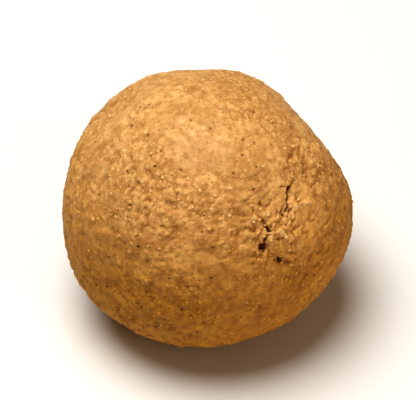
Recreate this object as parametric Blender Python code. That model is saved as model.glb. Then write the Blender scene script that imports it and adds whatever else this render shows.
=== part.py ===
"""Besan ladoo: one hand-rolled ball of roasted gram flour, sugar and ghee.

The sweet is a single solid, in metres, with +Z up. Its origin is at the centre of
the bounding box's bottom, so the ball stands on the plane z = 0, on the small flat
that its own weight has pressed into it. Its front is -Y.

A place on the ball is a pair (turn, rise) in degrees, seen from the ball's middle:
turn goes round from the front towards +X, and rise goes up from level.
"""

import math

import bmesh
import bpy
from mathutils import Vector, noise
from mathutils.bvhtree import BVHTree

# Driving dimensions of the finished ball.
WIDTH = 0.0436  # left to right
DEPTH = 0.0424  # front to back
HEIGHT = 0.0388  # foot to crown
FOOT_RADIUS = 0.0088  # the flat that the ball rests on, before the sag widens it

# The ball starts as an icosphere, whose faces are all about the same size. Five
# subdivisions give 5,120 faces with sides of about 1.6 mm.
SUBDIVISIONS = 5

# A soft ball sinks a little: its widest level lies this far under its middle.
SAG = 0.0020

# The flats that two palms leave while the ball is rolled, and the places where
# its neighbours leaned on it: name, place, depth.
PALM_FLATS = (
    ("right shoulder", (118, 26), 0.0019),
    ("back of crown", (178, 45), 0.0004),
    ("crown", (-60, 78), 0.0004),
    ("left side", (-98, -2), 0.0005),
    ("front left", (-34, 6), 0.0006),
    ("back", (-164, -8), 0.0007),
)
PALM_SOFTNESS = 0.0009  # how gently a flat runs out into the round
PALM_FIRMNESS = 0.9  # the share of the dough past a palm that is pushed in

# Where the dough was squeezed out between the palms, the lifted flake beside the
# crack and the lump under its pit: name, place, height, reach.
SWELLS = (
    ("right side", (88, -2), 0.0012, 0.0110),
    ("back shoulder", (157, 43), 0.0003, 0.0050),
    ("left of crown", (-140, 42), 0.0004, 0.0080),
    ("lifted flake", (42, 23), 0.0004, 0.0034),
    ("lump under the pit", (21, 12.5), 0.0003, 0.0030),
)

# The unevenness that rolling leaves all over: size of a lump, its height, its seed.
LUMPS = (
    (0.0150, 0.00022, 3.7),
    (0.0070, 0.00010, 11.3),
)

# The crack that opened as the ball dried. Each run goes from its wide end to its
# fine tip, as a list of places, with its width and depth at the wide end.
CRACK_RUNS = (
    ("stem", ((25.5, 18.5), (27.5, 22), (31.5, 26)), 0.0011, 0.0014),
    ("left arm", ((31.5, 24.5), (29.6, 30), (27.7, 34), (26.5, 37)), 0.0009, 0.0011),
    ("right arm", ((53, 38.5), (48.5, 35), (45.5, 31), (38, 28), (31.5, 25)), 0.0008, 0.0010),
    ("right tip", ((51.5, 37.5), (57, 38.5), (64, 37.5)), 0.0006, 0.0006),
    ("under the flake", ((42.5, 20.2), (46, 21.2), (50.5, 20.4), (55, 20.8)), 0.0006, 0.0006),
)
CRACK_STEPS = 3  # wedge sections from one place to the next
CRACK_WANDER = 0.00016  # how far the broken edge strays from its line
CRACK_RISE = 0.0006  # how far a wedge reaches out past the surface
CRACK_TIP_SHARE = 0.35  # the share of its width that a run keeps at its tip

# Pits where a crumb fell out: name, place, half length, half width, depth.
PITS = (
    ("main pit", (26, 19.5), 0.0010, 0.0007, 0.0013),
    ("lower pit", (32.5, 11.5), 0.0007, 0.0006, 0.0008),
)

GOLDEN_TAN = (0.700, 0.335, 0.100, 1.0)
ROUGHNESS = 0.62


def clear_scene():
    for obj in list(bpy.data.objects):
        bpy.data.objects.remove(obj)


def new_collection(name):
    collection = bpy.data.collections.new(name)
    bpy.context.scene.collection.children.link(collection)
    return collection


def direction(place):
    """The unit vector from the ball's middle towards a place."""
    turn, rise = (math.radians(angle) for angle in place)
    level = math.cos(rise)
    return Vector((math.sin(turn) * level, -math.cos(turn) * level, math.sin(rise)))


def half_axes():
    """Half width, half depth and half height of the round ball, and its foot's share.

    The foot's share is how far under the middle the foot is cut, as a share of the
    half height, so that the cut is a circle of the foot's radius.
    """
    width, depth = WIDTH / 2, DEPTH / 2
    foot_share = math.sqrt(1 - FOOT_RADIUS**2 / (width * depth))
    return Vector((width, depth, HEIGHT / (1 + foot_share))), foot_share


def press_flat(point, axes, place, depth):
    """Pushes in what stands past a palm, running out softly at the flat's edge."""
    facing = direction(place)
    reach = Vector(a * n for a, n in zip(axes, facing)).length
    past = (point.dot(facing) - reach + depth) / PALM_SOFTNESS
    push = PALM_SOFTNESS * math.log1p(math.exp(past))
    return point - facing * push * PALM_FIRMNESS


def swell(point, axes, place, height, reach):
    """How far a swelling pushes a point of the ball out."""
    top = Vector(a * n for a, n in zip(axes, direction(place)))
    return height * math.exp(-((point - top).length_squared / reach**2))


def lumps(point):
    """The sum of the rolling unevenness at a point."""
    total = 0.0
    for size, height, seed in LUMPS:
        total += height * noise.noise(point / size + Vector((seed, -seed, seed / 2)))
    return total


def shape_ball(bm, axes):
    """Turns the icosphere into the rolled and pressed ball."""
    for vertex in bm.verts:
        facing = vertex.co.normalized()
        point = Vector(a * n for a, n in zip(axes, facing))
        out = lumps(point)
        for _name, place, height, reach in SWELLS:
            out += swell(point, axes, place, height, reach)
        point.z -= SAG * (1 - facing.z**2)
        for _name, place, depth in PALM_FLATS:
            point = press_flat(point, axes, place, depth)
        vertex.co = point + facing * out


def cut_foot(bm, level):
    """Cuts the ball off flat at a level and closes the cut with one face."""
    bmesh.ops.bisect_plane(
        bm,
        geom=bm.verts[:] + bm.edges[:] + bm.faces[:],
        plane_co=(0, 0, level),
        plane_no=(0, 0, 1),
        clear_inner=True,
    )
    rim = [edge for edge in bm.edges if edge.is_boundary]
    bmesh.ops.contextual_create(bm, geom=rim)


def fit_to_size(bm):
    """Scales the ball to its driving dimensions and stands it on z = 0."""
    for axis, size in enumerate((WIDTH, DEPTH, HEIGHT)):
        values = [vertex.co[axis] for vertex in bm.verts]
        low, high = min(values), max(values)
        anchor = low if axis == 2 else (low + high) / 2
        for vertex in bm.verts:
            vertex.co[axis] = (vertex.co[axis] - anchor) * size / (high - low)


def dough_material(name, colour):
    material = bpy.data.materials.new(name)
    material.use_nodes = True
    shader = material.node_tree.nodes["Principled BSDF"]
    shader.inputs["Base Color"].default_value = colour
    shader.inputs["Roughness"].default_value = ROUGHNESS
    shader.inputs["Metallic"].default_value = 0.0
    return material


def make_ball(collection):
    """The whole ball without its crack, and a search tree of its surface."""
    axes, foot_share = half_axes()
    bm = bmesh.new()
    bmesh.ops.create_icosphere(bm, subdivisions=SUBDIVISIONS, radius=1.0)
    shape_ball(bm, axes)
    cut_foot(bm, -axes.z * foot_share)
    fit_to_size(bm)
    bmesh.ops.recalc_face_normals(bm, faces=bm.faces)
    surface = BVHTree.FromBMesh(bm)
    mesh = bpy.data.meshes.new("ladoo")
    bm.to_mesh(mesh)
    bm.free()
    mesh.shade_smooth()
    mesh.set_sharp_from_angle(angle=math.radians(20))
    mesh.materials.append(dough_material("besan_dough", GOLDEN_TAN))
    ball = bpy.data.objects.new("ladoo", mesh)
    collection.objects.link(ball)
    return ball, surface


def surface_point(surface, place):
    """The point of the ball's surface at a place."""
    middle = Vector((0, 0, HEIGHT / 2))
    facing = direction(place)
    return surface.ray_cast(middle + facing * WIDTH, -facing)[0]


def crack_line(surface, run):
    """Points along a run on the surface, straying a little as a broken edge does."""
    points = []
    for start, end in zip(run, run[1:]):
        for step in range(CRACK_STEPS):
            share = step / CRACK_STEPS
            place = [a + (b - a) * share for a, b in zip(start, end)]
            points.append(surface_point(surface, place))
    points.append(surface_point(surface, run[-1]))
    for index, point in enumerate(points):
        along = Vector((index * 1.7, len(points), 0.5))
        stray = Vector(noise.noise(along + Vector((0, 0, 3 * axis))) for axis in range(3))
        point += stray * CRACK_WANDER
    return points


def make_wedge(collection, name, points, width, depth):
    """A wedge along the points, with its edge down in the dough and a fine tip."""
    middle = Vector((0, 0, HEIGHT / 2))
    bm = bmesh.new()
    sections = []
    last = len(points) - 1
    for index, point in enumerate(points):
        share = index / last
        out = (point - middle).normalized()
        along = (points[min(index + 1, last)] - points[max(index - 1, 0)]).normalized()
        side = along.cross(out).normalized()
        half = width / 2 * (1 - (1 - CRACK_TIP_SHARE) * share)
        bottom = depth * (1 - share**2) - CRACK_RISE / 4 * share**2
        flare = half * (1 + CRACK_RISE / depth)
        rim = point + out * CRACK_RISE
        corners = (rim - side * flare, point - out * bottom, rim + side * flare)
        sections.append([bm.verts.new(corner) for corner in corners])
    for before, after in zip(sections, sections[1:]):
        for corner in range(3):
            following = (corner + 1) % 3
            bm.faces.new((before[corner], before[following], after[following], after[corner]))
    bm.faces.new(sections[0])
    bm.faces.new(sections[-1])
    bmesh.ops.recalc_face_normals(bm, faces=bm.faces)
    return cutter_object(collection, name, bm)


def make_pit(collection, name, point, half_length, half_width, depth):
    """A small egg shape that takes a pit out of the surface."""
    middle = Vector((0, 0, HEIGHT / 2))
    bm = bmesh.new()
    bmesh.ops.create_icosphere(bm, subdivisions=2, radius=1.0)
    bmesh.ops.scale(bm, vec=(half_width, half_length, depth), verts=bm.verts)
    turn = (point - middle).to_track_quat("Z", "Y")
    bmesh.ops.rotate(bm, matrix=turn.to_matrix(), verts=bm.verts)
    bmesh.ops.translate(bm, vec=point, verts=bm.verts)
    return cutter_object(collection, name, bm)


def cutter_object(collection, name, bm):
    mesh = bpy.data.meshes.new(name)
    bm.to_mesh(mesh)
    bm.free()
    cutter = bpy.data.objects.new(name, mesh)
    cutter.hide_render = True
    cutter.display_type = "WIRE"
    collection.objects.link(cutter)
    return cutter


def cut(ball, cutter):
    modifier = ball.modifiers.new(cutter.name, "BOOLEAN")
    modifier.operation = "DIFFERENCE"
    modifier.solver = "EXACT"
    modifier.object = cutter


def main():
    clear_scene()
    parts = new_collection("besan_ladoo")
    cutters = new_collection("besan_ladoo_cutters")
    ball, surface = make_ball(parts)
    for name, run, width, depth in CRACK_RUNS:
        points = crack_line(surface, run)
        cut(ball, make_wedge(cutters, name, points, width, depth))
    for name, place, half_length, half_width, depth in PITS:
        point = surface_point(surface, place)
        cut(ball, make_pit(cutters, name, point, half_length, half_width, depth))


main()
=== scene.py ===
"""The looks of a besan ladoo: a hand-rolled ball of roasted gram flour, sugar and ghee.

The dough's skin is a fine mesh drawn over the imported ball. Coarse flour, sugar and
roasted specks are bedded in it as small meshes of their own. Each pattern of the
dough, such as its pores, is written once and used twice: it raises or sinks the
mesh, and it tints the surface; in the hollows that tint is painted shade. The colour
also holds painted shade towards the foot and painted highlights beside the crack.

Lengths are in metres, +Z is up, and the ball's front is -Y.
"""

import math

import bpy
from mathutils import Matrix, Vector


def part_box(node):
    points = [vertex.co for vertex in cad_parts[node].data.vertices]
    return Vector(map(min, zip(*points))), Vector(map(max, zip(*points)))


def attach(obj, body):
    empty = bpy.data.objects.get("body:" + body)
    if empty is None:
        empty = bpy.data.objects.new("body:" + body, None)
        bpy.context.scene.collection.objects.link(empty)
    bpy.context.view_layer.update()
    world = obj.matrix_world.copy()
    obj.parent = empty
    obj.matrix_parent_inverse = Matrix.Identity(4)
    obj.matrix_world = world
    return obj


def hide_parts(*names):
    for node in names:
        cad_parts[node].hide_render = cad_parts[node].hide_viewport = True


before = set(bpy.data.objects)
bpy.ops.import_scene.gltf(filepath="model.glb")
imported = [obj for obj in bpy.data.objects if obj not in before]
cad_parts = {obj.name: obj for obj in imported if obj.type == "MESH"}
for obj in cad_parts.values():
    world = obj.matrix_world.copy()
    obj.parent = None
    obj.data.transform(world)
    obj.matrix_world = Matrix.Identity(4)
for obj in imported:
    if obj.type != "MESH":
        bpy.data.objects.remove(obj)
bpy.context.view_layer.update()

MM = 0.001
BODY = "root"

LOW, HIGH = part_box("ladoo")
WIDTH, _, HEIGHT = HIGH - LOW
MIDDLE = (LOW + HIGH) / 2


def direction(turn, rise):
    """The unit vector to a place: degrees round from the front to +X, and degrees up."""
    turn, rise = math.radians(turn), math.radians(rise)
    level = math.cos(rise)
    return Vector((math.sin(turn) * level, -math.cos(turn) * level, math.sin(rise)))


CRACK_WAY = direction(36, 26)
CRACK_PLACE = MIDDLE + CRACK_WAY * (WIDTH / 2)
# Painted highlight: round this place the lifted flake beside the crack is painted paler, where it
# catches the light.
FLAKE_HIGHLIGHT_PLACE = MIDDLE + direction(49, 23) * (WIDTH / 2)
# Faint creases run on from the crack's ends and over the front of the crown, and one
# joins the crack's arms where they are finest.
CREASES = (
    ((52, 38), (47, 42), (38, 46), (30, 50), (14, 54), (-2, 57)),
    ((36, 46), (28, 43), (20, 42), (12, 43)),
    ((62, 38), (69, 36), (78, 32.5)),
    ((31.8, 26), (38.4, 28.4), (45.7, 30.9)),
)
# Short nicks, which are cut like the creases.
NICKS = (
    ((-59, 43), (-58, 47)),
    ((-54, 38.5), (-59, 38)),
    ((-7, 41), (-1, 42)),
    ((3, 35), (7, 34.5)),
    ((17, 34.5), (22, 33.5)),
    ((-19, 39), (-17, 42)),
    ((49, 19.5), (53, 19)),
    ((102, 8), (105, 12)),
    ((-118, 30), (-114, 32)),
    ((170, 12), (174, 10)),
)
# The flake beside the crack has a raised crumbly edge where the dough tore.
TORN_EDGES = (
    ((35, 24), (38.8, 25), (44.6, 26.9), (50.1, 28.5), (57, 27.2)),
    ((35, 24), (36.4, 21.2), (40.4, 18.3)),
    ((31, 21.4), (30, 23)),
)


# ---------------------------------------------------------------- node trees


def is_vector(value):
    """Whether a value, or what a socket carries, has three parts or more."""
    if isinstance(value, Field):
        return value.socket.type in ("VECTOR", "RGBA")
    return not isinstance(value, (int, float))


class Field:
    """A socket that takes part in arithmetic. Each operator adds one node."""

    def __init__(self, tree, socket):
        self.tree = tree
        self.socket = socket

    def out(self, name):
        """Another output of the same node."""
        return Field(self.tree, pick(self.socket.node.outputs, name))

    def __add__(self, other):
        return self.tree.join("ADD", self, other)

    def __radd__(self, other):
        return self.tree.join("ADD", other, self)

    def __sub__(self, other):
        return self.tree.join("SUBTRACT", self, other)

    def __rsub__(self, other):
        return self.tree.join("SUBTRACT", other, self)

    def __mul__(self, other):
        return self.tree.join("MULTIPLY", self, other)

    def __rmul__(self, other):
        return self.tree.join("MULTIPLY", other, self)

    def __truediv__(self, other):
        return self.tree.join("DIVIDE", self, other)

    def __neg__(self):
        return self.tree.join("MULTIPLY", self, -1.0)

    def __lt__(self, other):
        return self.tree.join("LESS_THAN", self, other)

    def __gt__(self, other):
        return self.tree.join("GREATER_THAN", self, other)


def pick(sockets, key):
    """A socket by its place in the list, or the one in use of those with that name."""
    if isinstance(key, int):
        return sockets[key]
    named = [socket for socket in sockets if socket.name == key]
    return next((socket for socket in named if socket.enabled), named[0])


class Tree:
    """A tree of shader or geometry nodes that is written as Python."""

    def __init__(self, node_tree):
        self.tree = node_tree

    def node(self, kind, settings=None, inputs=None, output=0):
        """Adds a node: its settings first, then the values or links of its sockets."""
        made = self.tree.nodes.new(kind)
        for name, value in (settings or {}).items():
            setattr(made, name, value)
        for key, value in (inputs or {}).items():
            self.feed(pick(made.inputs, key), value)
        return Field(self, pick(made.outputs, output))

    def feed(self, socket, value):
        """Links a field to a socket, or sets the socket to a plain value."""
        if isinstance(value, Field):
            self.tree.links.new(value.socket, socket)
        else:
            socket.default_value = value

    def join(self, operation, *values):
        """One Math node, or a Vector Math node where a value is a vector."""
        if any(is_vector(value) for value in values):
            spread = [v if is_vector(v) or isinstance(v, Field) else (v, v, v) for v in values]
            kind = "ShaderNodeVectorMath"
            return self.node(kind, {"operation": operation}, dict(enumerate(spread)), "Vector")
        return self.node("ShaderNodeMath", {"operation": operation}, dict(enumerate(values)))

    def measure(self, operation, *values):
        """A Vector Math node whose result is a number, such as a length."""
        kind = "ShaderNodeVectorMath"
        return self.node(kind, {"operation": operation}, dict(enumerate(values)), "Value")

    def unit(self, vector):
        return self.join("NORMALIZE", vector)

    def smallest(self, *values):
        return self.join("MINIMUM", *values)

    def largest(self, *values):
        return self.join("MAXIMUM", *values)

    def ease(self, value, start, end, low=0.0, high=1.0):
        """Goes smoothly from low to high while the value goes from start to end."""
        return self.node(
            "ShaderNodeMapRange",
            {"interpolation_type": "SMOOTHSTEP"},
            {"Value": value, "From Min": start, "From Max": end, "To Min": low, "To Max": high},
        )

    def blend(self, share, first, second):
        """A colour between two colours."""
        return self.node(
            "ShaderNodeMix",
            {"data_type": "RGBA"},
            {"Factor": share, "A": opaque(first), "B": opaque(second)},
            "Result",
        )

    def noise(self, place, size, seed=0.0, detail=2.0):
        """Soft noise round 0.5, with lumps of about this size."""
        return self.node(
            "ShaderNodeTexNoise",
            {"noise_dimensions": "3D"},
            {
                "Vector": place + (seed * size, -seed * size, 0.5 * seed * size),
                "Scale": 1.0 / size,
                "Detail": detail,
            },
        )

    def cells(self, place, size, seed=0.0, feature="F1"):
        """A Voronoi pattern: how far its cell's seed or edge is, in cell sizes."""
        return self.node(
            "ShaderNodeTexVoronoi",
            {"feature": feature},
            {"Vector": place + (seed * size, seed * size, -seed * size), "Scale": 1.0 / size},
            "Distance",
        )

    def parts(self, colour):
        """The three random numbers that a cell's colour holds."""
        split = self.node("ShaderNodeSeparateXYZ", {}, {"Vector": colour}, "X")
        return split, split.out("Y"), split.out("Z")


def opaque(colour):
    """A plain colour with its alpha added. A field stays as it is."""
    return colour if isinstance(colour, Field) or len(colour) == 4 else (*colour, 1.0)


# ------------------------------------------------------ patterns of the dough


CLUMP = 2.1 * MM  # clumps of dough that the palms have pressed together
COARSE = 0.82 * MM  # the coarse flour's grains
FINE = 0.36 * MM  # the finer flour between them


def pressed(t, place):
    """Where the palms have pressed the skin smooth: 1 there, 0 where it is sandy."""
    height = t.node("ShaderNodeSeparateXYZ", {}, {"Vector": place}, "Z")
    palms = t.ease(t.noise(place, 11 * MM, seed=2.3), 0.40, 0.60)
    return palms * t.ease(height, 0.15 * HEIGHT, 0.60 * HEIGHT, 0.25, 1.0)


def flank(t, place):
    """Where the ball is rougher and more mottled: 0 on its crown, 1 down its sides."""
    height = t.node("ShaderNodeSeparateXYZ", {}, {"Vector": place}, "Z")
    return t.ease(height, 0.98 * HEIGHT, 0.82 * HEIGHT)


def crumbly(t, place):
    """Where the dough is loose round the crack: 1 beside it, 0 a little way off."""
    return t.ease(t.measure("DISTANCE", place, tuple(CRACK_PLACE)), 8.5 * MM, 3.0 * MM)


def flour_grains(t, place, size, seed):
    """Rounded grains: their height, from 0 in the gaps to 1, and a number for each."""
    drift = t.noise(place, 1.6 * size, seed=seed).out("Color") - (0.5, 0.5, 0.5)
    cells = t.cells(place + drift * (0.8 * size), size, seed=seed)
    large, tint, _ = t.parts(cells.out("Color"))
    return t.ease(cells, 0.85, 0.10) * (0.35 + 0.65 * large), tint


def seams(t, place):
    """Broken lines where two clumps meet: 1 in a seam, 0 on a clump."""
    drift = t.noise(place, 1.5 * MM, seed=6.1, detail=3.0).out("Color") - (0.5, 0.5, 0.5)
    edge = t.cells(place + drift * CLUMP, CLUMP, seed=2.7, feature="DISTANCE_TO_EDGE")
    open_here = t.ease(t.noise(place, 1.7 * MM, seed=4.3), 0.46, 0.62)
    return t.ease(edge, 0.16, 0.02) * open_here


def pores(t, place):
    """Small ragged holes between the grains: 1 in a hole, 0 on the skin."""
    drift = t.noise(place, 0.4 * MM, seed=1.5).out("Color") - (0.5, 0.5, 0.5)
    cells = t.cells(place + drift * (0.45 * MM), 1.55 * MM, seed=8.4)
    chosen, size, _ = t.parts(cells.out("Color"))
    radius = 0.10 + 0.14 * size
    return t.ease(cells / radius, 1.0, 0.45) * (chosen > 0.55)


def pocks(t, place):
    """Shallow uneven dents where a grain has rubbed out: 1 in a dent, 0 on the skin."""
    drift = t.noise(place, 0.9 * MM, seed=2.2).out("Color") - (0.5, 0.5, 0.5)
    cells = t.cells(place + drift * (1.1 * MM), 1.9 * MM, seed=3.3)
    chosen, size, _ = t.parts(cells.out("Color"))
    radius = 0.22 + 0.20 * size
    return t.ease(cells / radius, 1.0, 0.20) * (chosen > 0.35)


def fissures(t, place):
    """Hairline cracks in a few patches: 1 in a crack, 0 on the skin."""
    drift = t.noise(place, 2.4 * MM, seed=3.9, detail=3.0).out("Color") - (0.5, 0.5, 0.5)
    edge = t.cells(place + drift * (3.2 * MM), 6.5 * MM, seed=6.2, feature="DISTANCE_TO_EDGE")
    patches = t.ease(t.noise(place, 8 * MM, seed=9.6), 0.60, 0.72)
    return t.ease(edge, 0.030, 0.006) * patches


# ------------------------------------------------------------ the dough's skin


def geometry_tree(name, sizes):
    """A Geometry Nodes tree with one named input for each size, and its fields."""
    group = bpy.data.node_groups.new(name, "GeometryNodeTree")
    group.interface.new_socket("Geometry", in_out="INPUT", socket_type="NodeSocketGeometry")
    group.interface.new_socket("Geometry", in_out="OUTPUT", socket_type="NodeSocketGeometry")
    kinds = {float: "NodeSocketFloat", int: "NodeSocketInt", Vector: "NodeSocketVector"}
    for label, value in sizes.items():
        kind = kinds.get(type(value), "NodeSocketObject")
        group.interface.new_socket(label, in_out="INPUT", socket_type=kind)
    tree = Tree(group)
    given = tree.node("NodeGroupInput", output="Geometry")
    return tree, given, {label: given.out(label) for label in sizes}


def finish_tree(tree, geometry, material):
    """Ends a tree: its instances made real, and its material set."""
    real = tree.node("GeometryNodeRealizeInstances", {}, {"Geometry": geometry})
    painted = tree.node("GeometryNodeSetMaterial", {}, {"Geometry": real, "Material": material})
    tree.feed(tree.tree.nodes.new("NodeGroupOutput").inputs["Geometry"], painted)


def grow(name, tree, sizes, mesh):
    """The plain mesh that a tree makes from a mesh, as a new object."""
    source = bpy.data.objects.new(f"{name}_source", mesh)
    bpy.context.scene.collection.objects.link(source)
    modifier = source.modifiers.new(name, "NODES")
    modifier.node_group = tree.tree
    for item in tree.tree.interface.items_tree:
        if item.in_out == "INPUT" and item.name in sizes:
            modifier[item.identifier] = sizes[item.name]
    bpy.context.view_layer.update()
    graph = bpy.context.evaluated_depsgraph_get()
    made = bpy.data.meshes.new_from_object(source.evaluated_get(graph))
    source.modifiers.remove(modifier)
    bpy.data.objects.remove(source)
    piece = bpy.data.objects.new(name, made)
    made.name = name
    bpy.context.scene.collection.objects.link(piece)
    return piece


def store(t, geometry, name, kind, value):
    """A geometry whose points keep a value under a name."""
    return t.node(
        "GeometryNodeStoreNamedAttribute",
        {"data_type": kind, "domain": "POINT"},
        {"Geometry": geometry, "Name": name, "Value": value},
    )


def stored(t, name, kind):
    """The value that the points keep under a name."""
    inputs = {"Name": name}
    return t.node("GeometryNodeInputNamedAttribute", {"data_type": kind}, inputs, "Attribute")


def lines_on_ball(name, lines):
    """Lines of places as plain edges on a round ball as wide as the dough."""
    mesh = bpy.data.meshes.new(name)
    points, edges = [], []
    for line in lines:
        edges += [(len(points) + i, len(points) + i + 1) for i in range(len(line) - 1)]
        points += [direction(*place) * (WIDTH / 2) for place in line]
    mesh.from_pydata(points, edges, [])
    return bpy.data.objects.new(name, mesh)


SKIN_SIZES = {
    "Ball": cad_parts["ladoo"],
    "Middle": MIDDLE,
    "Crack way": CRACK_WAY,
    "Side points": 128,
    "Crack pull": 0.55,
    "Crack spread": 0.42,
    "Broken edge": 0.30 * MM,
    "Swell": 0.42 * MM,
    "Dimple": 0.62 * MM,
    "Knead": 0.28 * MM,
    "Seam": 0.16 * MM,
    "Grain": 0.085 * MM,
    "Pore": 0.22 * MM,
    "Pock": 0.15 * MM,
    "Fissure": 0.16 * MM,
    "Crumble": 0.30 * MM,
    "Crease lines": lines_on_ball("crease_lines", CREASES + NICKS),
    "Crease": 0.26 * MM,
    "Crease width": 0.38 * MM,
    "Torn lines": lines_on_ball("torn_lines", TORN_EDGES),
    "Torn": 0.42 * MM,
    "Torn width": 0.95 * MM,
}
EVEN_BLURS = 40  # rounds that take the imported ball's facets away
WIDE_BLURS = 420  # rounds that fill its crack, to show how deep it is

# As shares of the ball's radius: the span of a crease's strays from its line, and how
# far from the crack a dip in the ball still counts as a hollow, wholly and at all.
CREASE_STRAY = 0.10
HOLLOWS_FULL = 0.50
HOLLOWS_END = 0.62


def skin_tree(material):
    """A ball of even squares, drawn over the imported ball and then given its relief."""
    t, _, size = geometry_tree("dough_skin", SKIN_SIZES)
    side = size["Side points"]
    cube = t.node(
        "GeometryNodeMeshCube",
        {},
        {"Size": (2, 2, 2), "Vertices X": side, "Vertices Y": side, "Vertices Z": side},
        "Mesh",
    )
    # Tangents make the squares near a cube's edges as large as those in its middle.
    corner = t.node("GeometryNodeInputPosition") * (math.pi / 4)
    outward = t.unit(t.join("TANGENT", corner))

    # The squares are drawn together round the crack, which needs the finest mesh.
    way = size["Crack way"]
    near = t.measure("DOT_PRODUCT", outward, way)
    angle = t.join("ARCCOSINE", t.smallest(near, 1.0))
    around = t.unit(outward - t.node(
        "ShaderNodeVectorMath", {"operation": "SCALE"}, {0: way, "Scale": near}, "Vector"
    ))
    fall = angle / size["Crack spread"]
    drawn = angle * (1 - size["Crack pull"] * t.join("EXPONENT", -(fall * fall)))
    outward = way * t.join("COSINE", drawn) + around * t.join("SINE", drawn)
    mesh = store(t, cube, "outward", "FLOAT_VECTOR", outward)
    outward = stored(t, "outward", "FLOAT_VECTOR")

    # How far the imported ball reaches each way. Small strays break the crack's edge.
    far = WIDTH
    ball = t.node("GeometryNodeObjectInfo", {}, {"Object": size["Ball"]}, "Geometry")
    rough = t.noise(outward * (WIDTH / 2), 0.9 * MM, seed=4.4, detail=3.0).out("Color")
    stray = (rough - (0.5, 0.5, 0.5)) * size["Broken edge"]
    bend = t.noise(outward * (WIDTH / 2), 2.2 * MM, seed=1.9, detail=4.0).out("Color")
    wander = (bend - (0.5, 0.5, 0.5)) * CREASE_STRAY
    cast = t.node(
        "GeometryNodeRaycast",
        {},
        {
            "Target Geometry": ball,
            "Source Position": size["Middle"] + outward * far + stray,
            "Ray Direction": -outward,
            "Ray Length": far,
        },
        "Hit Distance",
    )
    mesh = store(t, mesh, "reach", "FLOAT", far - cast)
    reach = stored(t, "reach", "FLOAT")

    def blurred(rounds):
        return t.node("GeometryNodeBlurAttribute", {}, {"Value": reach, "Iterations": rounds})

    def beside(lines):
        """How far a point of the skin is from the nearest of some lines."""
        edges = t.node("GeometryNodeObjectInfo", {}, {"Object": lines}, "Geometry")
        return t.node(
            "GeometryNodeProximity",
            {"target_element": "EDGES"},
            {"Geometry": edges, "Sample Position": (outward + wander) * (WIDTH / 2)},
            "Distance",
        )

    # A palm's broad flat is no hollow, so only what lies round the crack counts.
    by_crack = t.ease(t.measure("DISTANCE", outward, way), HOLLOWS_END, HOLLOWS_FULL)
    cracked = t.largest(blurred(WIDE_BLURS) - reach, 0.0) * by_crack
    worn = t.ease(t.noise(outward * (WIDTH / 2), 2.0 * MM, seed=5.5), 0.35, 0.60, 0.25, 1.0)
    crease = t.ease(beside(size["Crease lines"]), size["Crease width"], 0.0)
    crease = crease * worn * size["Crease"]
    ragged = t.ease(t.noise(outward * (WIDTH / 2), 0.8 * MM, seed=3.6), 0.44, 0.56, 0.15, 1.0)
    torn = t.ease(beside(size["Torn lines"]), size["Torn width"], 0.0) * ragged
    mesh = store(t, mesh, "hollow", "FLOAT", cracked + crease)
    mesh = store(t, mesh, "crease", "FLOAT", crease)
    mesh = store(t, mesh, "torn", "FLOAT", torn)
    hollow = stored(t, "hollow", "FLOAT")
    crease = stored(t, "crease", "FLOAT")
    torn = stored(t, "torn", "FLOAT")
    kept = t.ease(hollow - crease, 0.08 * MM, 0.20 * MM)
    even = blurred(EVEN_BLURS)
    radius = even + (reach - even) * kept
    mesh = t.node(
        "GeometryNodeSetPosition",
        {},
        {"Geometry": mesh, "Position": size["Middle"] + outward * radius},
    )
    place = t.node("GeometryNodeInputPosition")
    mesh = store(t, mesh, "dough_place", "FLOAT_VECTOR", place)
    place = stored(t, "dough_place", "FLOAT_VECTOR")

    # The relief, from its broadest form to its finest.
    rougher = flank(t, place)
    sandy = 0.85 + 0.80 * rougher - 0.5 * pressed(t, place) + 1.1 * crumbly(t, place)
    broken = t.ease(hollow, 0.15 * MM, 0.50 * MM)
    relief = (
        size["Swell"] * (t.noise(place, 5 * MM, seed=1.1) - 0.55)
        + size["Dimple"] * (0.8 + 0.4 * rougher) * (t.noise(place, 2.6 * MM, seed=7.2) - 0.55)
        + size["Knead"] * sandy * (t.noise(place, 1.2 * MM, seed=4.9) - 0.55)
        + size["Grain"] * sandy * (flour_grains(t, place, COARSE, 1.7)[0] - 0.6)
        - crease
        + size["Torn"] * torn * (1 - kept)
        - size["Seam"] * sandy * seams(t, place) * (1 - torn)
        - size["Pore"] * pores(t, place)
        - size["Pock"] * sandy * pocks(t, place) * (1 - torn)
        - size["Fissure"] * fissures(t, place)
        + size["Crumble"] * broken * (t.noise(place, 0.9 * MM, seed=2.9, detail=3.0) - 0.55)
    )
    moved = place + outward * relief
    split = t.node("ShaderNodeSeparateXYZ", {}, {"Vector": moved}, "X")
    on_floor = t.node(
        "ShaderNodeCombineXYZ",
        {},
        {"X": split, "Y": split.out("Y"), "Z": t.largest(split.out("Z"), 0.0)},
    )
    mesh = t.node("GeometryNodeSetPosition", {}, {"Geometry": mesh, "Position": on_floor})
    for name in ("outward", "reach", "crease"):
        mesh = t.node("GeometryNodeRemoveAttribute", {}, {"Geometry": mesh, "Name": name})
    mesh = t.node("GeometryNodeSetShadeSmooth", {}, {"Geometry": mesh, "Shade Smooth": True})
    finish_tree(t, mesh, material)
    return t


# ------------------------------------------------------------------ materials


def new_material(name):
    """A new material, its tree and the shader of its surface."""
    material = bpy.data.materials.new(name)
    material.use_nodes = True
    shader = material.node_tree.nodes["Principled BSDF"]
    return material, Tree(material.node_tree), shader


GOLD = (0.710, 0.410, 0.162)
DEEP_GOLD = (0.580, 0.318, 0.106)
# A painted highlight on the lifted flake beside the crack.
FLAKE_HIGHLIGHT_GOLD = (0.900, 0.520, 0.195)
# Paler grains, and the painted highlight on the loose crumbs round the crack.
PALE_GRAIN_AND_HIGHLIGHT = (0.800, 0.500, 0.215)
# Fresh crumb tone, which on the torn edge is partly a painted highlight.
FRESH_CRUMB_AND_HIGHLIGHT = (0.860, 0.600, 0.290)
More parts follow.
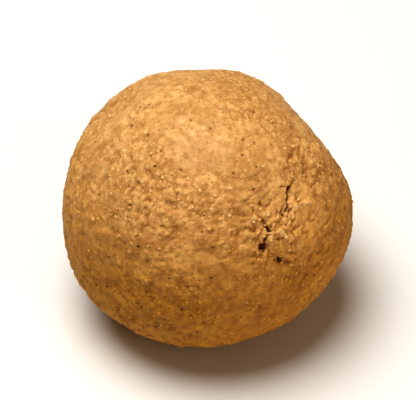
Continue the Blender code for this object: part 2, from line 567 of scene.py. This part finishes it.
# Toasted tone, and painted shade in the gaps between grains, seams and dents.
TOASTED_AND_SHADE_BROWN = (0.380, 0.175, 0.045)
GHEE_BROWN = (0.520, 0.280, 0.095)
# Painted shade in pores, hairline cracks, the crack and its creases.
HOLLOW_SHADE_BROWN = (0.150, 0.052, 0.012)
SPECK_BROWN = (0.130, 0.048, 0.014)
SUGAR = (0.820, 0.580, 0.310)
WHITE = (1.000, 1.000, 1.000)
# Painted shade: the tint that darkens and deepens the colour towards the foot.
FOOT_SHADE_TINT = (0.790, 0.655, 0.215)


def shaded_towards_foot(t, place, colour):
    """Painted shade: a deeper, more saturated gold towards the foot, where the ball is darker
    because of how light falls, which keeps the dough's mottling.
    """
    height = t.node("ShaderNodeSeparateXYZ", {}, {"Vector": place}, "Z")
    return colour * t.blend(t.ease(height, 0.90 * HEIGHT, 0.40 * HEIGHT), WHITE, FOOT_SHADE_TINT)


# Soft patches of tone, from the broadest to the finest: size, seed, the noise's detail,
# whether the crown shows less of them, and their tints. A tint sets in at its first
# level of the noise and has its full share from the second.
MOTTLES = (
    (
        (4.6 * MM, 5.1, 2.0, True),
        ((0.50, 0.66, 0.35, TOASTED_AND_SHADE_BROWN), (0.48, 0.32, 0.25, PALE_GRAIN_AND_HIGHLIGHT)),
    ),
    (
        (2.4 * MM, 6.6, 2.0, True),
        (
            (0.44, 0.62, 0.80, DEEP_GOLD),
            (0.54, 0.72, 0.50, TOASTED_AND_SHADE_BROWN),
            (0.44, 0.28, 0.50, PALE_GRAIN_AND_HIGHLIGHT),
        ),
    ),
    (
        (1.1 * MM, 9.3, 3.0, False),
        ((0.52, 0.66, 0.55, PALE_GRAIN_AND_HIGHLIGHT), (0.48, 0.34, 0.45, TOASTED_AND_SHADE_BROWN)),
    ),
)
# How far round its middle the painted highlight on the lifted flake reaches, wholly and at all.
FLAKE_HIGHLIGHT_FULL = 2.0 * MM
FLAKE_HIGHLIGHT_END = 8.5 * MM


def mottled(t, place, colour):
    """A colour with the dough's soft patches of tone."""
    uneven = 0.45 + 0.70 * flank(t, place)
    for (size, seed, detail, less_on_crown), tints in MOTTLES:
        patch = t.noise(place, size, seed=seed, detail=detail)
        for start, full, share, tint in tints:
            shown = t.ease(patch, start, full, 0.0, share)
            colour = t.blend(shown * uneven if less_on_crown else shown, colour, tint)
    return colour


def tinted(t, colour, tints):
    """A colour with tints laid over it in turn: where each shows, its share, its tone."""
    for where, share, tint in tints:
        colour = t.blend(where * share, colour, tint)
    return colour


def dough_material():
    """Golden tan dough: mottled, with tinted grains, pores and hollows painted dark as shade, oily
    pressed spots, painted shade towards the foot and painted highlights beside the crack.
    """
    material, t, shader = new_material("besan_dough")
    place = t.node("ShaderNodeAttribute", {"attribute_name": "dough_place"}, output="Vector")
    hollow = t.node("ShaderNodeAttribute", {"attribute_name": "hollow"}, output="Fac")
    torn = t.node("ShaderNodeAttribute", {"attribute_name": "torn"}, output="Fac")
    smooth = pressed(t, place)
    coarse, coarse_tint = flour_grains(t, place, COARSE, 1.7)
    fine, fine_tint = flour_grains(t, place, FINE, 4.6)

    colour = t.blend(t.ease(t.noise(place, 9 * MM, seed=3.1), 0.35, 0.65), GOLD, DEEP_GOLD)
    colour = mottled(t, place, colour)

    # Oily spots and a painted highlight on the lifted flake, then grains that are paler or more
    # toasted than the dough, and last a painted highlight on the loose crumbs round the crack.
    oily = smooth * t.ease(t.noise(place, 5 * MM, seed=8.8), 0.45, 0.62)
    flake_highlight = t.ease(t.measure("DISTANCE", place, tuple(FLAKE_HIGHLIGHT_PLACE)), FLAKE_HIGHLIGHT_END, FLAKE_HIGHLIGHT_FULL)
    patchy = t.ease(t.noise(place, 1.8 * MM, seed=2.9, detail=3.0), 0.36, 0.58, 0.35, 1.0)
    domed = t.ease(coarse, 0.3, 0.6)
    loose = crumbly(t, place)
    crumb_highlight = t.ease(t.noise(place, 0.9 * MM, seed=5.8), 0.48, 0.60)
    colour = tinted(t, colour, (
        (oily, 0.50, GHEE_BROWN),
        # Painted highlight on the lifted flake beside the crack.
        (flake_highlight * patchy, 0.70, FLAKE_HIGHLIGHT_GOLD),
        ((fine_tint > 0.80) * fine, 0.50, PALE_GRAIN_AND_HIGHLIGHT),
        ((fine_tint < 0.16) * fine, 0.50, TOASTED_AND_SHADE_BROWN),
        ((coarse_tint > 0.84) * domed, 0.45, PALE_GRAIN_AND_HIGHLIGHT),
        ((coarse_tint < 0.10) * domed, 0.50, TOASTED_AND_SHADE_BROWN),
        # Painted highlight on the loose crumbs round the crack.
        (loose * crumb_highlight, 0.60, PALE_GRAIN_AND_HIGHLIGHT),
    ))
    # Painted shade: the colour darkens towards the foot.
    colour = shaded_towards_foot(t, place, colour)

    # Torn dough is tinted pale, partly as fresh dough and partly as a painted highlight on its
    # raised edge. Everything that is hollow is darker: painted shade in the gaps between grains,
    # seams, dents, hairline cracks, pores, the crack and its creases.
    whole = 1 - torn
    # Painted shade in the gaps between the grains.
    gap_shade = t.ease(coarse, 0.22, 0.0) * (1 - 0.6 * smooth) + 0.4 * loose * t.ease(coarse, 0.3, 0.1)
    colour = tinted(t, colour, (
        # Partly painted highlight: the raised torn edge is tinted pale where it catches the light.
        (torn, 0.70, FRESH_CRUMB_AND_HIGHLIGHT),
        (gap_shade, 0.55, TOASTED_AND_SHADE_BROWN),
        (seams(t, place) * (1 - 0.5 * smooth) * whole, 0.55, TOASTED_AND_SHADE_BROWN),
        (pocks(t, place) * whole, 0.38, TOASTED_AND_SHADE_BROWN),
        (fissures(t, place), 0.70, HOLLOW_SHADE_BROWN),
        (pores(t, place), 0.65, HOLLOW_SHADE_BROWN),
        (t.ease(hollow, 0.06 * MM, 0.60 * MM), 0.85, HOLLOW_SHADE_BROWN),
    ))

    # The bump's height is in metres.
    sand = t.noise(place, 0.13 * MM, seed=7.7, detail=3.0)
    height = fine * (0.035 * MM) + sand * (0.020 * MM) - pores(t, place) * (0.05 * MM)
    sizes = {"Strength": 1.0, "Distance": 1.0, "Height": height}
    bump = t.node("ShaderNodeBump", {}, sizes, "Normal")
    rough = t.ease(smooth, 0.0, 1.0, 0.74, 0.58) + 0.10 * (sand - 0.5)
    t.feed(shader.inputs["Base Color"], colour)
    t.feed(shader.inputs["Roughness"], rough)
    t.feed(shader.inputs["Normal"], bump)
    shader.inputs["Specular IOR Level"].default_value = 0.28
    shader.inputs["Subsurface Weight"].default_value = 0.10
    shader.inputs["Subsurface Radius"].default_value = (1.0, 0.45, 0.15)
    shader.inputs["Subsurface Scale"].default_value = 0.8 * MM
    return material


def grain_material(name, deep, pale, roughness):
    """A small grain's finish: each grain has its own tone between two colours, with painted shade
    towards the foot.
    """
    material, t, shader = new_material(name)
    place = t.node("ShaderNodeTexCoord", output="Object")
    tone = t.node("ShaderNodeAttribute", {"attribute_name": "tone"}, output="Fac")
    mottle = t.noise(place, 0.25 * MM, seed=2.0) - 0.5
    # The grain's colour gets the same painted shade towards the foot.
    colour = shaded_towards_foot(t, place, t.blend(tone + 0.5 * mottle, deep, pale))
    t.feed(shader.inputs["Base Color"], colour)
    t.feed(shader.inputs["Roughness"], roughness + 0.2 * mottle)
    shader.inputs["Specular IOR Level"].default_value = 0.4
    return material


# --------------------------------------------------------------------- grains


# How far a grain may lean off the skin it lies on, in radians, and its turn on it.
LEAN_LOW = (-0.4, -0.4, 0.0)
LEAN_HIGH = (0.4, 0.4, math.tau)
LUMP_SEEDS = (1.0, 2.0, 3.0, 4.0)  # one for each lumpy shape that a grain may have
BLOCK_SIZE = (1.0, 0.8, 0.65)  # a block's sides, as shares of a grain's size
BARE_FOOT = 0.8 * MM  # no grain lies lower than this, under the ball


def scatter_tree(name, sizes, material, corners, where):
    """Bedded grains: lumpy balls or blocks, sunk a little into the skin at random points."""
    t, skin, size = geometry_tree(name, sizes)
    hollow = stored(t, "hollow", "FLOAT")
    place = stored(t, "dough_place", "FLOAT_VECTOR")
    height = t.node("ShaderNodeSeparateXYZ", {}, {"Vector": place}, "Z")
    above_foot = height > BARE_FOOT
    points = t.node(
        "GeometryNodeDistributePointsOnFaces",
        {"distribute_method": "POISSON"},
        {
            "Mesh": skin,
            "Distance Min": size["Apart"],
            "Density Max": size["Density"],
            "Density Factor": above_foot * where(t, place, hollow),
            "Seed": size["Seed"],
        },
        "Points",
    )
    normal = points.out("Normal")

    def random(low, high, seed, kind="FLOAT"):
        return t.node(
            "FunctionNodeRandomValue",
            {"data_type": kind},
            {"Min": low, "Max": high, "Seed": seed},
            "Value",
        )

    share = random(0.0, 1.0, 11)
    grain = size["Smallest"] + (size["Largest"] - size["Smallest"]) * share * share
    cloud = store(t, points, "grain", "FLOAT", grain)
    cloud = store(t, cloud, "tone", "FLOAT", random(0.0, 1.0, 12))
    grain = stored(t, "grain", "FLOAT")
    cloud = t.node(
        "GeometryNodeSetPosition",
        {},
        {"Geometry": cloud, "Offset": normal * (grain * size["Sunk"] * -1.0)},
    )
    if corners == "block":
        shape = t.node("GeometryNodeMeshCube", {}, {"Size": BLOCK_SIZE}, "Mesh")
    else:
        shape = t.node(
            "GeometryNodeMeshIcoSphere", {}, {"Radius": 0.5, "Subdivisions": corners}, "Mesh"
        )
    at = t.node("GeometryNodeInputPosition")
    kinds = []
    for seed in LUMP_SEEDS:
        bumps = t.noise(at, 0.5, seed=seed, detail=1.0).out("Color")
        lump = (bumps - (0.5, 0.5, 0.5)) * size["Lumpy"]
        bent = t.node("GeometryNodeSetPosition", {}, {"Geometry": shape, "Offset": lump})
        kinds.append(t.node("GeometryNodeGeometryToInstance", {}, {"Geometry": bent}))
    joined = t.tree.nodes.new("GeometryNodeJoinGeometry")
    for kind in kinds:
        t.tree.links.new(kind.socket, joined.inputs["Geometry"])
    lean = random(LEAN_LOW, LEAN_HIGH, 13, "FLOAT_VECTOR")
    flat = t.node(
        "FunctionNodeRotateRotation",
        {"rotation_space": "LOCAL"},
        {"Rotation": points.out("Rotation"), "Rotate By": lean},
    )
    thin = grain * size["Thickness"]
    placed = t.node(
        "GeometryNodeInstanceOnPoints",
        {},
        {
            "Points": cloud,
            "Instance": Field(t, joined.outputs["Geometry"]),
            "Pick Instance": True,
            "Instance Index": random(0, len(LUMP_SEEDS) - 1, 14, "INT"),
            "Rotation": flat,
            "Scale": t.node("ShaderNodeCombineXYZ", {}, {"X": grain, "Y": grain, "Z": thin}),
        },
    )
    placed = t.node(
        "GeometryNodeSetShadeSmooth", {}, {"Geometry": placed, "Shade Smooth": corners != "block"}
    )
    finish_tree(t, placed, material)
    return t


def everywhere(t, place, _hollow):
    """All over the ball, and fewer where it is pressed smooth."""
    return 1.15 - 0.85 * pressed(t, place)


def round_the_crack(t, place, hollow):
    """In the crack, round it and on the torn edges."""
    torn = stored(t, "torn", "FLOAT")
    return (t.ease(hollow, 0.05 * MM, 0.30 * MM) + 0.20) * crumbly(t, place) + torn


def sizes_of(density, apart, smallest, largest, thickness, sunk, lumpy, seed):
    """A scatter's named sizes: grains for each square metre, three lengths in metres,
    three shares of a grain's size, and the seed.
    """
    return {
        "Density": density,
        "Apart": apart,
        "Smallest": smallest,
        "Largest": largest,
        "Thickness": thickness,
        "Sunk": sunk,
        "Lumpy": lumpy,
        "Seed": seed,
    }


# For each kind: name, sizes, finish, shape ("block", or how often an icosphere is
# subdivided), and where it lies.
GRAINS = (
    (
        "flour_grains",
        sizes_of(1.1e6, 0.45 * MM, 0.30 * MM, 0.80 * MM, 0.62, 0.16, 0.70, 3),
        ("coarse_flour", DEEP_GOLD, PALE_GRAIN_AND_HIGHLIGHT, 0.70),
        1,
        everywhere,
    ),
    (
        "sugar_grains",
        sizes_of(0.5e5, 1.0 * MM, 0.20 * MM, 0.45 * MM, 1.00, 0.22, 0.35, 5),
        ("sugar", GOLD, SUGAR, 0.40),
        "block",
        everywhere,
    ),
    (
        "roasted_specks",
        sizes_of(4.0e4, 1.6 * MM, 0.20 * MM, 0.60 * MM, 0.60, 0.20, 0.60, 8),
        ("roasted_flour", SPECK_BROWN, TOASTED_AND_SHADE_BROWN, 0.65),
        1,
        everywhere,
    ),
    (
        "crack_crumbs",
        sizes_of(2.2e6, 0.50 * MM, 0.35 * MM, 1.00 * MM, 0.75, 0.16, 1.30, 9),
        ("crumb", GOLD, FRESH_CRUMB_AND_HIGHLIGHT, 0.75),
        2,
        round_the_crack,
    ),
)


def make_grains(skin):
    """Scatters each kind of grain over the finished skin, as a piece of its own."""
    for name, sizes, finish, corners, where in GRAINS:
        tree = scatter_tree(name, sizes, grain_material(*finish), corners, where)
        piece = grow(name, tree, sizes, skin.data.copy())
        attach(piece, BODY)


# ---------------------------------------------------------------------- stage


FLOOR_SIZE = 4.0
FLOOR_PALE = (0.80, 0.79, 0.77)
LIT_WELL = 0.20  # how far from the ball the lights reach the floor in full
LIT_BARELY = 1.00  # how far out they hardly reach it


def floor_material():
    """A matt pale floor, which glows by itself far out, where the lights don't reach."""
    material, t, shader = new_material("studio_floor")
    place = t.node("ShaderNodeTexCoord", output="Object")
    glow = t.ease(t.measure("LENGTH", place), LIT_WELL, LIT_BARELY)
    shader.inputs["Base Color"].default_value = opaque(FLOOR_PALE)
    shader.inputs["Roughness"].default_value = 0.9
    t.feed(shader.inputs["Emission Color"], t.blend(glow, (0, 0, 0), FLOOR_PALE))
    shader.inputs["Emission Strength"].default_value = 1.0
    return material


def make_floor():
    bpy.ops.mesh.primitive_plane_add(size=FLOOR_SIZE, location=(0, 0, 0))
    floor = bpy.context.object
    floor.name = "studio_floor"
    floor.data.materials.append(floor_material())


def area_light(name, place, size, power, colour):
    """A round soft light that faces the ball: its width in metres, its power in watts."""
    data = bpy.data.lights.new(name, "AREA")
    data.shape = "DISK"
    data.size = size
    data.energy = power
    data.color = colour
    light = bpy.data.objects.new(name, data)
    light.location = place
    light.rotation_euler = (MIDDLE - Vector(place)).to_track_quat("-Z", "Y").to_euler()
    bpy.context.scene.collection.objects.link(light)


# The lights: name, place, width, power, colour.
LIGHTS = (
    ("key", (-0.12, 0.03, 0.60), 0.45, 3.60, (1.0, 0.98, 0.95)),
    ("fill", (0.50, -0.40, 0.25), 0.40, 0.90, (1.0, 0.78, 0.50)),
)
SKY_STRENGTH = 0.07  # the white light from all round, which fills the shadows


def make_lights():
    for name, place, size, power, colour in LIGHTS:
        area_light(name, place, size, power, colour)
    world = bpy.data.worlds.new("studio")
    world.use_nodes = True
    world.node_tree.nodes["Background"].inputs["Color"].default_value = (1, 1, 1, 1)
    world.node_tree.nodes["Background"].inputs["Strength"].default_value = SKY_STRENGTH
    bpy.context.scene.world = world
    bpy.context.scene.view_settings.view_transform = "Standard"
    bpy.context.scene.view_settings.look = "High Contrast"


CAMERA_DISTANCE = 0.79
CAMERA_ELEVATION = math.radians(44.8)
FRAME_SHARE = 0.70  # how much of the frame's width the ball takes


def make_camera():
    data = bpy.data.cameras.new("camera")
    data.lens = data.sensor_width * CAMERA_DISTANCE * FRAME_SHARE / WIDTH
    data.clip_start, data.clip_end = 0.05, 10.0
    camera = bpy.data.objects.new("camera", data)
    level = math.cos(CAMERA_ELEVATION)
    back = Vector((0, -level, math.sin(CAMERA_ELEVATION)))
    camera.location = MIDDLE + back * CAMERA_DISTANCE
    camera.rotation_euler = back.to_track_quat("Z", "Y").to_euler()
    bpy.context.scene.collection.objects.link(camera)
    bpy.context.scene.camera = camera


# ----------------------------------------------------------------------- main


def main():
    make_camera()
    make_floor()
    make_lights()
    skin = grow("dough_skin", skin_tree(dough_material()), SKIN_SIZES, bpy.data.meshes.new("none"))
    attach(skin, BODY)
    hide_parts("ladoo")
    make_grains(skin)


main()
